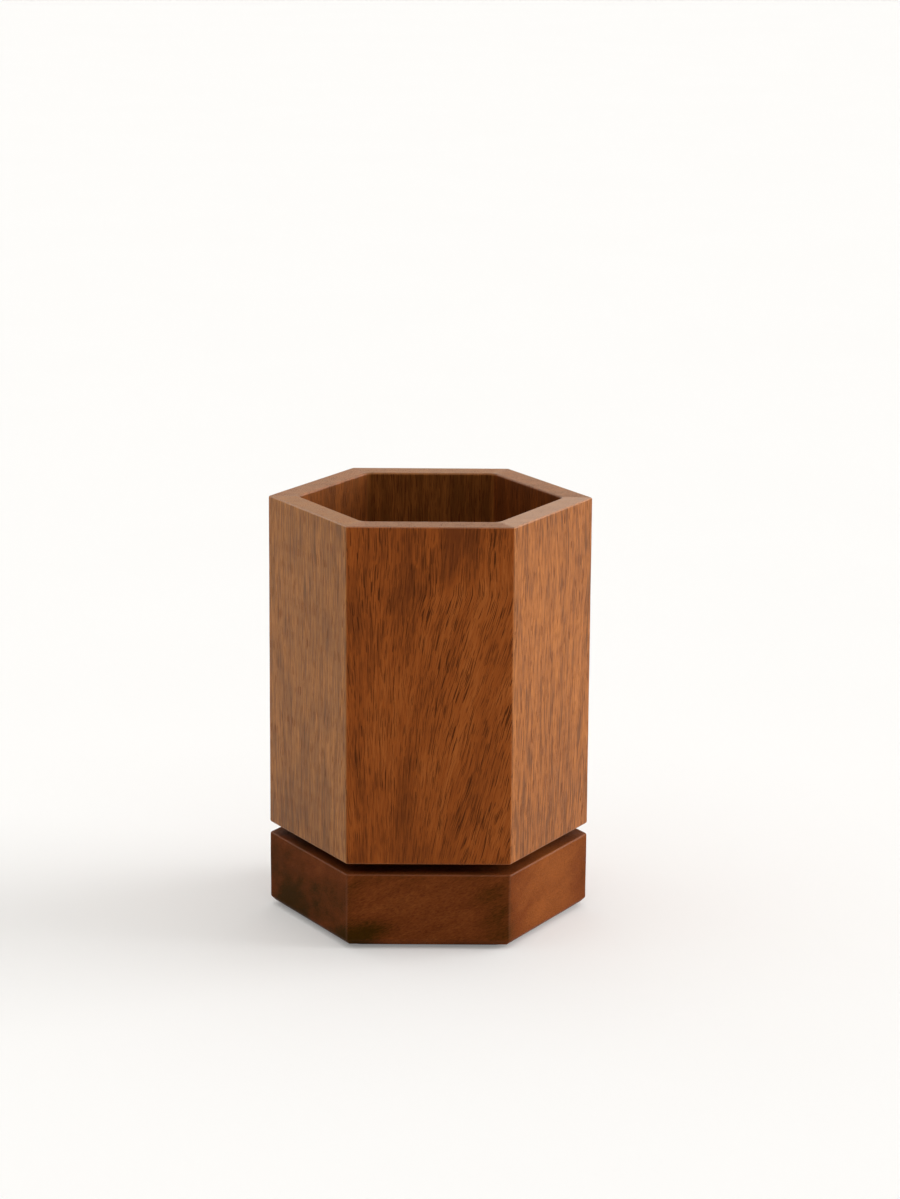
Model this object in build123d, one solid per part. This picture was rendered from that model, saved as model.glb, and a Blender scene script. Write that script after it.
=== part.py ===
from build123d import *

import math
import os

# Rotating pen holder: a six-sided cup of mitred wooden staves that turns on a six-sided wooden base.
# Lengths are millimetres and angles are degrees. +Z is up, the origin is on the turning axis at the
# surface that the holder stands on, and the front stave faces -Y.

# Outer form
side_count = 6
across_flats = 70.0
cup_height = 85.0
base_height = 18.5
shadow_gap = 2.5
wall = 6.5

# Eased edges of the wood
cup_edge_radius = 0.7
rim_outer_radius = 0.45
rim_inner_radius = 0.6
well_corner_radius = 2.5
base_edge_radius = 1.1
base_top_radius = 0.5
base_foot_chamfer = 1.4
base_foot_angle = 45.0
recess_edge_chamfer = 0.4

# Cup floor, held by a tongue in a groove of the staves
floor_thickness = 7.0
tongue_thickness = 4.0
groove_depth = 3.0
floor_fit = 0.1

# Foot pad
pad_thickness = 0.8
pad_inset = 3.5
pad_corner_radius = 3.0
pad_edge_chamfer = 0.2

# Balls and their cage
ball_diameter = 4.0
ball_spacing = 8.4
race_clearance = 0.05
cage_thickness = 0.8
cage_rim = 1.4
cage_clearance = 0.4
pocket_clearance = 0.1

# Pressed turntable plates
skirt_clearance = 1.5
sheet = 1.0
seat_clearance = 0.7
land_width = 1.6
flange_margin = 0.9
riser_angle = 45.0
recess_depth = 2.0
recess_clearance = 0.5

# Tubular rivet through the middle of the plates, and its slip washer
rivet_radius = 3.2
rivet_bore_radius = 2.3
rivet_flange_radius = 5.2
rivet_flange_thickness = 0.9
rivet_mouth_chamfer = 0.5
rivet_clearance = 0.06
washer_thickness = 0.5
washer_play = 0.05

# Pan-headed wood screws
plate_screw_count = 4
screw_radius = 1.25
screw_point = 2.2
screw_head_radius = 2.4
screw_head_height = 1.6
screw_head_crown = 0.6
screw_hole_clearance = 0.2
pilot_clearance = 0.03
point_clearance = 0.2
base_screw_length = 10.0
cup_screw_length = 6.0

# Hole through the lower plate and the base, by which the upper screws go in
access_clearance = 0.5

# One allowance for every cut that runs out of a surface
overrun = 1.0

# Plan of the hexagon
sector = 360 / side_count
apothem = across_flats / 2
well_apothem = apothem - wall
groove_apothem = well_apothem + groove_depth
first_side_angle = -90

# Heights of the turntable: each ball groove is concentric with the balls, clear of the wood behind it
ball_radius = ball_diameter / 2
groove_radius = ball_radius + race_clearance
turntable_height = 2 * (groove_radius + sheet + seat_clearance)
half_land_gap = cage_thickness / 2 + cage_clearance
land_height = turntable_height / 2 - half_land_gap
land_back = land_height - sheet
groove_half_width = math.sqrt(groove_radius**2 - half_land_gap**2)
pressed_radius = groove_radius + sheet
pressed_half_width = math.sqrt(pressed_radius**2 - (half_land_gap + sheet) ** 2)

# Rings of the turntable from the rim inwards: screw flange, riser, land and ball groove
plate_radius = well_apothem - skirt_clearance
access_radius = screw_head_radius + access_clearance
flange_width = 2 * (access_radius + flange_margin)
screw_circle_radius = plate_radius - flange_width / 2
riser_foot_radius = plate_radius - flange_width
land_radius = riser_foot_radius - land_back / math.tan(math.radians(riser_angle))
bend_shift = sheet * math.tan(math.radians(riser_angle / 2))
ball_circle_radius = land_radius - land_width - groove_half_width
ball_count = int(2 * math.pi * ball_circle_radius / ball_spacing)

# Levels from the table up
base_bottom = pad_thickness
base_top = base_bottom + base_height
cup_bottom = base_top + shadow_gap
cup_top = cup_bottom + cup_height
plate_seat = base_top - recess_depth
ball_level = plate_seat + turntable_height / 2
floor_bottom = plate_seat + turntable_height
tongue_top = floor_bottom + tongue_thickness
floor_top = floor_bottom + floor_thickness

# The upper screws stand halfway between the lower ones
base_screw_angle = 0
cup_screw_angle = 180 / plate_screw_count


def hexagon(half_width, bottom, top):
    """An upright prism whose flat sides stand half_width from the axis."""
    outline = RegularPolygon(half_width, side_count, major_radius=False)
    return extrude(Plane.XY.offset(bottom) * outline, top - bottom)


def round_uprights(prism, radius):
    """The same prism with its upright corners rounded."""
    return fillet(prism.edges().filter_by(Axis.Z), radius)


def eased_block(bottom, top, edge_radius, top_radius):
    """A full-size wooden hexagon with its corners, lower edges and top edges eased."""
    block = hexagon(apothem, bottom, top)
    lower_edges, uprights, _ = block.edges().group_by(Axis.Z)
    block = fillet(lower_edges + uprights, edge_radius)
    top_face = block.faces().sort_by(Axis.Z)[-1]
    return fillet(top_face.edges(), top_radius)


def drum(radius, bottom, top):
    """A round bar on the axis."""
    return extrude(Plane.XY.offset(bottom) * Circle(radius), top - bottom)


def turned(section):
    """A section drawn as radius and height, turned about the axis."""
    return revolve(Plane.XZ * section, Axis.Z)


def screw_places(angle):
    """Places of one set of plate screws, from the first one's angle."""
    return PolarLocations(screw_circle_radius, plate_screw_count, angle)


def holes(places, radius, bottom, top):
    """Round bars to cut at the given places."""
    return [place * drum(radius, bottom, top) for place in places]


def cup_shell():
    """The six staves as one ring: eased edges, rounded well corners and the groove for the floor."""
    block = eased_block(cup_bottom, cup_top, cup_edge_radius, rim_outer_radius)
    well = hexagon(well_apothem, cup_bottom - overrun, cup_top + overrun)
    ring = block - round_uprights(well, well_corner_radius)
    rim = ring.faces().sort_by(Axis.Z)[-1]
    ring = fillet(rim.inner_wires()[0].edges(), rim_inner_radius)
    return ring - hexagon(groove_apothem, floor_bottom, tongue_top + floor_fit)


def mitre_wedge(angle):
    """The sector of the ring that one stave fills, between its two mitred ends."""
    reach = apothem + overrun
    half_reach = reach * math.tan(math.radians(sector / 2))
    outline = Polygon((0, 0), (reach, -half_reach), (reach, half_reach), align=None)
    return Rot(0, 0, angle) * extrude(Plane.XY.offset(cup_bottom) * outline, cup_height)


def cup_floor():
    """The panel that closes the cup, with a tongue round it and pilot holes from below."""
    tongue = hexagon(groove_apothem - floor_fit, floor_bottom, tongue_top)
    field = hexagon(well_apothem - floor_fit, floor_bottom, floor_top)
    panel = tongue + round_uprights(field, well_corner_radius)
    pilot_top = floor_bottom - sheet + cup_screw_length + point_clearance
    return panel - holes(
        screw_places(cup_screw_angle), screw_radius + pilot_clearance, floor_bottom - overrun, pilot_top
    )


def base_taper():
    """What the chamfer round its foot leaves of the base: a hexagon that widens upwards."""
    foot = RegularPolygon(apothem - base_foot_chamfer, side_count, major_radius=False)
    return extrude(Plane.XY.offset(base_bottom) * foot, base_height, taper=-base_foot_angle)


def base_block():
    """The solid base: eased edges, chamfered foot, the turntable's recess, pilot holes and the access hole."""
    block = eased_block(base_bottom, base_top, base_edge_radius, base_top_radius) & base_taper()
    block -= drum(plate_radius + recess_clearance, plate_seat, base_top + overrun)
    mouth = block.faces().filter_by(Axis.Z).group_by(Axis.Z)[-1][0].inner_wires()[0]
    block = chamfer(mouth.edges(), recess_edge_chamfer)
    pilot_bottom = plate_seat + sheet - base_screw_length - point_clearance
    block -= holes(
        screw_places(base_screw_angle), screw_radius + pilot_clearance, pilot_bottom, plate_seat + overrun
    )
    access = Rot(0, 0, cup_screw_angle) * Pos(screw_circle_radius, 0, 0)
    return block - access * drum(access_radius, base_bottom - overrun, plate_seat + overrun)


def foot_pad():
    """The thin rubber sheet under the base, set in from its edges."""
    pad = round_uprights(hexagon(apothem - pad_inset, 0, base_bottom), pad_corner_radius)
    return chamfer(pad.edges().group_by(Axis.Z)[0], pad_edge_chamfer)


def pressed_plate():
    """A turntable plate with its flange on the table level: flange, riser, land and ball groove."""
    bore = rivet_radius + rivet_clearance
    groove_outer = ball_circle_radius + groove_half_width
    groove_inner = ball_circle_radius - groove_half_width
    pressed_outer = ball_circle_radius + pressed_half_width
    pressed_inner = ball_circle_radius - pressed_half_width
    groove_floor = turntable_height / 2 - groove_radius
    face_line = Polyline(
        (plate_radius, 0),
        (plate_radius, sheet),
        (riser_foot_radius, sheet),
        (land_radius, land_height),
        (groove_outer, land_height),
    )
    face_groove = ThreePointArc(
        (groove_outer, land_height), (ball_circle_radius, groove_floor), (groove_inner, land_height)
    )
    hub_line = Polyline(
        (groove_inner, land_height), (bore, land_height), (bore, land_back), (pressed_inner, land_back)
    )
    back_groove = ThreePointArc(
        (pressed_inner, land_back), (ball_circle_radius, groove_floor - sheet), (pressed_outer, land_back)
    )
    back_line = Polyline(
        (pressed_outer, land_back),
        (land_radius - bend_shift, land_back),
        (riser_foot_radius - bend_shift, 0),
        (plate_radius, 0),
    )
    return turned(make_face(face_line + face_groove + hub_line + back_groove + back_line))


def lower_plate():
    """The plate in the base's recess, with an access hole between two of its screw holes."""
    plate = Pos(0, 0, plate_seat) * pressed_plate()
    top = plate_seat + sheet + overrun
    plate -= holes(
        screw_places(base_screw_angle), screw_radius + screw_hole_clearance, plate_seat - overrun, top
    )
    access = Rot(0, 0, cup_screw_angle) * Pos(screw_circle_radius, 0, 0)
    return plate - access * drum(access_radius, plate_seat - overrun, top)


def upper_plate():
    """The same pressing turned over, under the cup's floor."""
    plate = Pos(0, 0, plate_seat) * pressed_plate()
    plate = mirror(plate, Plane.XY.offset(ball_level))
    bottom = floor_bottom - sheet - overrun
    return plate - holes(
        screw_places(cup_screw_angle), screw_radius + screw_hole_clearance, bottom, floor_bottom + overrun
    )


def bearing_balls():
    """The ring of balls between the two grooves."""
    places = PolarLocations(ball_circle_radius, ball_count)
    return Compound([Pos(0, 0, ball_level) * place * Sphere(ball_radius) for place in places])


def ball_cage():
    """The flat ring that keeps the balls evenly spaced."""
    pocket = ball_radius + pocket_clearance
    bottom = ball_level - cage_thickness / 2
    top = ball_level + cage_thickness / 2
    ring = drum(ball_circle_radius + pocket + cage_rim, bottom, top)
    ring -= drum(ball_circle_radius - pocket - cage_rim, bottom - overrun, top + overrun)
    places = PolarLocations(ball_circle_radius, ball_count)
    return ring - holes(places, pocket, bottom - overrun, top + overrun)


def washer_level():
    """Height of the slip washer's underside, just above the upper plate's back."""
    return floor_bottom - land_back + washer_play


def rivet_washer():
    """The slip washer between the upper plate and the rivet's upper flange."""
    bottom = washer_level()
    ring = drum(rivet_flange_radius, bottom, bottom + washer_thickness)
    bore = drum(rivet_radius + rivet_clearance, bottom - overrun, bottom + washer_thickness + overrun)
    return ring - bore


def pivot_rivet():
    """The hollow rivet that joins the plates: a flange below the lower one and one above the washer."""
    lower_seat = plate_seat + land_back
    upper_seat = washer_level() + washer_thickness + washer_play
    bottom = lower_seat - rivet_flange_thickness
    top = upper_seat + rivet_flange_thickness
    section = Polygon(
        (rivet_bore_radius, bottom),
        (rivet_flange_radius, bottom),
        (rivet_flange_radius, lower_seat),
        (rivet_radius, lower_seat),
        (rivet_radius, upper_seat),
        (rivet_flange_radius, upper_seat),
        (rivet_flange_radius, top),
        (rivet_bore_radius, top),
        align=None,
    )
    mouths = section.vertices().group_by(Axis.X)[0]
    return turned(chamfer(mouths, rivet_mouth_chamfer))


def wood_screw(length):
    """A pan-headed screw that points up: the underside of its head is at zero."""
    shoulder = screw_head_crown - screw_head_height
    crown = TangentArc((0, -screw_head_height), (screw_head_radius, shoulder), tangent=(1, 0))
    body = Polyline(
        (screw_head_radius, shoulder),
        (screw_head_radius, 0),
        (screw_radius, 0),
        (screw_radius, length - screw_point),
        (0, length),
        (0, -screw_head_height),
    )
    return turned(make_face(crown + body))


def base_screws():
    """The screws that hold the lower plate on the base."""
    screw = mirror(wood_screw(base_screw_length), Plane.XY)
    level = plate_seat + sheet
    return Compound([Pos(0, 0, level) * place * screw for place in screw_places(base_screw_angle)])


def cup_screws():
    """The screws that hold the cup's floor on the upper plate."""
    screw = wood_screw(cup_screw_length)
    level = floor_bottom - sheet
    return Compound([Pos(0, 0, level) * place * screw for place in screw_places(cup_screw_angle)])


def staves():
    """The six staves by name, from the front one on, counter-clockwise seen from above."""
    ring = cup_shell()
    order = ["front", "front_right", "back_right", "back", "back_left", "front_left"]
    return {
        f"stave_{side}": ring & mitre_wedge(first_side_angle + index * sector)
        for index, side in enumerate(order)
    }


def pieces():
    """Every piece of the holder by node name."""
    named = staves()
    named["cup_floor"] = cup_floor()
    named["upper_plate"] = upper_plate()
    named["cup_screws"] = cup_screws()
    named["bearing_balls"] = bearing_balls()
    named["ball_cage"] = ball_cage()
    named["rivet_washer"] = rivet_washer()
    named["pivot_rivet"] = pivot_rivet()
    named["lower_plate"] = lower_plate()
    named["base_screws"] = base_screws()
    named["base_block"] = base_block()
    named["foot_pad"] = foot_pad()
    return named


os.makedirs("parts", exist_ok=True)
for node, shape in pieces().items():
    export_step(shape, f"parts/{node}.step")
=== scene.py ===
import math
from dataclasses import dataclass, fields

import bmesh
import bpy
from mathutils import Matrix, Vector, noise


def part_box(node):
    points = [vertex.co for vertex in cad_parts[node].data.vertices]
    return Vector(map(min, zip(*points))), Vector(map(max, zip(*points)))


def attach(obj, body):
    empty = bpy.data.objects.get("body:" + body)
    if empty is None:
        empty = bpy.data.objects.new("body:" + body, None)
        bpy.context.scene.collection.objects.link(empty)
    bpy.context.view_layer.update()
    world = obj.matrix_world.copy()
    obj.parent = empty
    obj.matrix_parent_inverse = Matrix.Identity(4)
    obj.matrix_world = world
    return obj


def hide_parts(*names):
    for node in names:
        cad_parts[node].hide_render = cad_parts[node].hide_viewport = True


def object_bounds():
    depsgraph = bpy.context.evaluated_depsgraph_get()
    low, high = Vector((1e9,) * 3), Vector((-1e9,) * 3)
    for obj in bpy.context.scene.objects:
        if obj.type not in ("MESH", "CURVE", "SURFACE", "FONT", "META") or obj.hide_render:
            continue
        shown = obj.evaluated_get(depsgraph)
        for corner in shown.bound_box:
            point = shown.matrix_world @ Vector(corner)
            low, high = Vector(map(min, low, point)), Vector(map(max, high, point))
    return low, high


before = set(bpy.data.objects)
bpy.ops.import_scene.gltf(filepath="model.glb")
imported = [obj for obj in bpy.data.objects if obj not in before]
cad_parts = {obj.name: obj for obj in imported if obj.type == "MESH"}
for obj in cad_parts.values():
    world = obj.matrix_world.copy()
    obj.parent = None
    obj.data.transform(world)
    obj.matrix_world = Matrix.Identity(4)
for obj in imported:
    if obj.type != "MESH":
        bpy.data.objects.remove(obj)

bl_info = {
    "name": "Rotating Pen Holder",
    "version": (1, 0, 0),
    "blender": (4, 5, 0),
    "location": "3D View > Sidebar > Pen Holder",
    "description": "Shapes and finishes the wood, turntable and screws of a six-sided rotating pen holder",
    "category": "Object",
}

# Lengths are metres in the row frame: +Z up the turning axis, the front stave facing -Y.
# Patterns of grain and metal are laid out in millimetres.
MM = 0.001
UP = Vector((0.0, 0.0, 1.0))

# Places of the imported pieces
CAD_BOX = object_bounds()
STAVE_LOW, STAVE_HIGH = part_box("stave_front")
BASE_LOW, BASE_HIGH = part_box("base_block")
PANEL_LOW, PANEL_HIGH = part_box("cup_floor")
PAD_LOW, PAD_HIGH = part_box("foot_pad")
PLATE_LOW, PLATE_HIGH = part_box("lower_plate")
BASE_SCREW_LOW, BASE_SCREW_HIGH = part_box("base_screws")
CUP_SCREW_LOW, CUP_SCREW_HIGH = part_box("cup_screws")

# Plan of the hexagon: the staves are named from the front one on, counter-clockwise from above
STAVE_SIDES = ("front", "front_right", "back_right", "back", "back_left", "front_left")
SIDE_COUNT = len(STAVE_SIDES)
SECTOR = 2 * math.pi / SIDE_COUNT
HALF_SECTOR = SECTOR / 2
FRONT_ANGLE = -math.pi / 2
APOTHEM = -STAVE_LOW.y

# Screws: four hold each plate, and the upper four stand halfway between the lower ones
SCREW_COUNT = 4
BASE_SCREW_ANGLE = 0.0
CUP_SCREW_ANGLE = math.pi / SCREW_COUNT

# Fineness of the meshes
ARC_STEPS = 5
ROUND_STEPS = 6
FACE_ROWS = 14
HOLE_STEPS = 32
SCREW_STEPS = 40
THREAD_ROWS = 8
THREAD_RIDGE = 0.25
CREASE = math.radians(35)

# Wood: where soft steps start and end, and shares of tone, painted shade, painted highlight, polish,
# roughness and relief
NOISE_SWING = 0.25
CROWDING = 0.2
LONG_PORES, FINE_PORES, FINE_PORE_SHARE = (0.62, 0.66), (0.58, 0.65), 0.5
DARK_TONE, BODY_TONE, LIGHT_TONE = 0.2, 0.5, 0.8
STAIN_AND_SHADE_EDGE, STAIN_AND_SHADE_RAGGED = (0.2, 1.0), 0.6
END_FACING, END_SHARE, END_ROUGHNESS = (0.5, 1.0), 0.6, 0.04
# The well is painted darker inside as shade: by how much, and over what length it fades in
WELL_PAINTED_SHADE, WELL_FADE = 0.2, 0.6
EDGE_WEAR_AND_HIGHLIGHT, EDGE_WEAR_AND_HIGHLIGHT_CLOUDS = 0.18, 0.25
EDGE_POLISH, POLISH_ROUGHNESS = 0.35, 0.25
WOOD_ROUGHNESS, FIBRE_ROUGHNESS, PORE_ROUGHNESS = 0.41, 0.14, 0.18
WOOD_LEVEL, FIBRE_RELIEF, PORE_RELIEF = 0.6, 0.2, 0.5
TAN_LIGHT, TAN_DARK = 1.35, 0.55
PLANK_SEED = 17.3

# Metal, plastic and paint: patterns in millimetres, shares as above, and the depths of all reliefs
PLATING_CLOUD = 5.0
PLATING_SPECK = 0.25
SCRATCH_SIZE = (0.18, 6.0, 3.0)
RING_WIDTH = 0.17
RUBBED_PATCH = 7.0
PAINT_CLOUD = 90.0
PLATING_STEP, SKIN_STEP, PAINT_STEP = (0.38, 0.66), (0.42, 0.66), (0.3, 0.7)
CLOUD_ROUGHNESS, FINE_ROUGHNESS = 0.2, 0.15
SCRATCH_SHARE = 0.7
PORE_DEPTH = 0.03 * MM
SCRATCH_DEPTH = 0.02 * MM
RUBBER_PEBBLE, RUBBER_RELIEF = 0.35, 0.06 * MM
NYLON_PEBBLE, NYLON_RELIEF = 0.3, 0.01 * MM

# The lights stand this way from the holder
KEY_TOWARDS = Vector((0.97, 0.12, 0.2))
TOP_TOWARDS = Vector((0.0, 0.15, 1.0))
FLOOR_REACH = 6.0

# Hand easing: how much, and over what length, the radius of an upright edge strays. Corners lie apart in
# the noise, off its lattice. The rim is rubbed the most, which also paints the brightest highlight along
# it, and nothing is sharper than the smallest radius.
EASE_SHARE = 0.3
EASE_LENGTH = 9 * MM
EASE_APART = math.e
RIM_WEAR_AND_HIGHLIGHT = 1.5
SHARP = 0.02 * MM
EASED = "eased"


def length(name, description, default):
    """A size in metres that a user can change."""
    return bpy.props.FloatProperty(
        name=name, description=description, default=default, min=0.0, precision=5, unit="LENGTH"
    )


def colour(name, description, default):
    """A linear colour that a user can change."""
    return bpy.props.FloatVectorProperty(
        name=name, description=description, default=default, min=0.0, max=1.0, size=3, subtype="COLOR"
    )


def strength(name, description, default):
    """A strength of light that a user can change."""
    return bpy.props.FloatProperty(name=name, description=description, default=default, min=0.0)


def angle(name, description, degrees):
    """An angle that a user can change."""
    return bpy.props.FloatProperty(
        name=name, description=description, default=math.radians(degrees), subtype="ANGLE"
    )


class PenHolderSizes(bpy.types.PropertyGroup):
    """Sizes of the shaped pieces that their boxes don't give."""

    wall: length("Wall", "Thickness of a stave", 6.5 * MM)
    cup_edge: length("Cup edges", "Radius of the cup's upright and lower edges", 0.7 * MM)
    rim_outer: length("Outer rim", "Radius round the outside of the rim", 0.45 * MM)
    rim_inner: length("Inner rim", "Radius round the mouth of the well", 0.6 * MM)
    well_corner: length("Well corners", "Radius in the upright corners of the well", 2.5 * MM)
    groove_depth: length("Groove depth", "How far the floor's groove goes into a stave", 3.0 * MM)
    tongue: length("Tongue", "Thickness of the floor's tongue", 4.0 * MM)
    floor_fit: length("Floor fit", "Play of the floor in its groove", 0.1 * MM)
    tongue_corner: length("Tongue corners", "Radius of the tongue's corners", 0.3 * MM)
    floor_edge: length("Floor edge", "Radius round the top of the floor", 0.3 * MM)
    base_edge: length("Base edges", "Radius of the base's upright edges", 1.1 * MM)
    base_top: length("Base top edge", "Radius round the top of the base", 0.5 * MM)
    base_foot: length("Base foot", "Chamfer round the foot of the base", 1.4 * MM)
    foot_ease: length("Foot easing", "How far the edges of that chamfer are rubbed off", 0.4 * MM)
    recess_clearance: length("Recess clearance", "Room round the turntable in the base", 0.5 * MM)
    recess_chamfer: length("Recess chamfer", "Chamfer at the mouth of the recess", 0.4 * MM)
    access_radius: length("Access hole", "Radius of the hole to the cup's screws", 2.9 * MM)
    pilot_radius: length("Pilot holes", "Radius of the screws' pilot holes", 1.28 * MM)
    pilot_clearance: length("Pilot clearance", "Room past the point of a screw", 0.2 * MM)
    pad_corner: length("Pad corners", "Radius of the foot pad's corners", 3.0 * MM)
    pad_chamfer: length("Pad chamfer", "Chamfer round the foot pad's underside", 0.2 * MM)
    head_radius: length("Screw head", "Radius of a screw's head", 2.4 * MM)
    head_height: length("Head height", "Height of a screw's head", 1.6 * MM)
    head_crown: length("Head crown", "How far the top of a head is domed", 0.6 * MM)
    screw_radius: length("Screw radius", "Radius over a screw's thread", 1.25 * MM)
    screw_point: length("Screw point", "Length of a screw's tapered point", 2.2 * MM)
    thread_depth: length("Thread depth", "Height of a screw's thread", 0.35 * MM)
    thread_pitch: length("Thread pitch", "Rise of a screw's thread in one turn", 1.1 * MM)
    cross_length: length("Cross length", "Half the length of the cross in a head", 1.35 * MM)
    cross_width: length("Cross width", "Half the width of the cross in a head", 0.33 * MM)
    cross_depth: length("Cross depth", "Depth of the cross in a head", 0.9 * MM)


class PenHolderColours(bpy.types.PropertyGroup):
    """Linear colours of the finishes."""

    cup_light: colour("Cup, light", "Lightest streaks of the cup's wood", (0.400, 0.110, 0.0235))
    cup_body: colour("Cup", "Body of the cup's wood", (0.297, 0.070, 0.0125))
    cup_dark: colour("Cup, dark", "Darkest streaks of the cup's wood", (0.133, 0.030, 0.007))
    cup_pore: colour("Cup pores", "Open pores of the cup's wood", (0.058, 0.013, 0.0025))
    cup_sheen: colour("Cup sheen", "Tint of reflections in the cup's wood", (1.0, 0.40, 0.12))
    cup_tan: colour("Cup, tan", "Body of the cup's palest plank", (0.352, 0.138, 0.030))
    cup_end: colour("Cup end grain", "Sawn ends of the cup's planks, along the rim", (0.236, 0.092, 0.018))
    base_light: colour("Base, light", "Lightest streaks of the base's wood", (0.285, 0.083, 0.0195))
    base_body: colour("Base", "Body of the base's wood", (0.173, 0.043, 0.0105))
    base_dark: colour("Base, dark", "Darkest streaks of the base's wood", (0.053, 0.022, 0.0025))
    base_pore: colour("Base pores", "Open pores of the base's wood", (0.030, 0.009, 0.004))
    base_sheen: colour("Base sheen", "Tint of reflections in the base's wood", (0.8, 0.30, 0.10))
    zinc: colour("Zinc", "Bright plating of the plates and rivet", (0.60, 0.61, 0.62))
    zinc_dull: colour("Zinc, dull", "Dull clouds in the plating", (0.42, 0.43, 0.43))
    screw_zinc: colour("Screw plating", "Bright plating of the screws", (0.64, 0.58, 0.42))
    screw_dull: colour("Screw plating, dull", "Dull clouds in the screws' plating", (0.46, 0.40, 0.28))
    brass: colour("Brass", "Ball cage", (0.70, 0.49, 0.20))
    brass_dull: colour("Brass, dull", "Tarnish on the ball cage", (0.45, 0.29, 0.11))
    ball_steel: colour("Ball steel", "Polished balls", (0.72, 0.72, 0.73))
    ball_oil: colour("Ball oil", "Oil film on the balls", (0.58, 0.56, 0.52))
    nylon: colour("Nylon", "Slip washer", (0.78, 0.76, 0.69))
    nylon_dull: colour("Nylon, dull", "Rubbed patches of the slip washer", (0.66, 0.63, 0.55))
    rubber: colour("Rubber", "Foot pad", (0.018, 0.017, 0.016))
    rubber_dust: colour("Rubber, dusty", "Dust in the foot pad's grain", (0.045, 0.043, 0.040))
    floor: colour("Floor", "Pale floor of the stage", (0.94, 0.945, 0.95))
    floor_shade: colour("Floor, shade", "Faint clouds in the floor", (0.934, 0.938, 0.942))
    floor_white: colour("Floor, white", "What the camera adds to the floor", (1.0, 0.985, 0.965))
    room: colour("Room", "Pale surroundings", (0.84, 0.82, 0.73))
    key_tint: colour("Key tint", "Colour of the light from the right", (0.99, 1.0, 1.0))
    top_tint: colour("Top tint", "Colour of the light from above", (1.0, 0.975, 0.94))


class PenHolderStage(bpy.types.PropertyGroup):
    """Light and view."""

    key_strength: strength("Key light", "Broad light from the right", 3.0)
    key_spread: angle("Key spread", "Width of the light from the right", 50)
    top_strength: strength("Top light", "Broad light from above", 2.55)
    top_spread: angle("Top spread", "Width of the light from above", 120)
    room_strength: strength("Room light", "Even light from all round", 0.06)
    floor_white: strength("Floor white", "Share of the floor that the camera sees as plain white", 0.22)
    view_distance: length("View distance", "From the camera to the point it looks at", 910.5 * MM)
    view_height: length("View height", "Height of the point that the camera looks at", 49.3 * MM)
    view_elevation: angle("View elevation", "How far above level the camera stands", 15.68)
    view_roll: angle("View roll", "Turn of the picture about its middle", 0.33)
    view_pan: angle("View pan", "Turn of the camera to the side", -0.32)
    view_tilt: angle("View tilt", "Turn of the camera up or down", -1.90)
    focal_length: bpy.props.FloatProperty(
        name="Focal length", description="Lens of the camera", default=107.98, min=1.0, unit="CAMERA"
    )


class PenHolderSettings(bpy.types.PropertyGroup):
    """Everything that a user would change."""

    sizes: bpy.props.PointerProperty(name="Sizes", description="Sizes of the pieces", type=PenHolderSizes)
    colours: bpy.props.PointerProperty(name="Colours", description="Finishes", type=PenHolderColours)
    stage: bpy.props.PointerProperty(name="Stage", description="Light and view", type=PenHolderStage)


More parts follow.
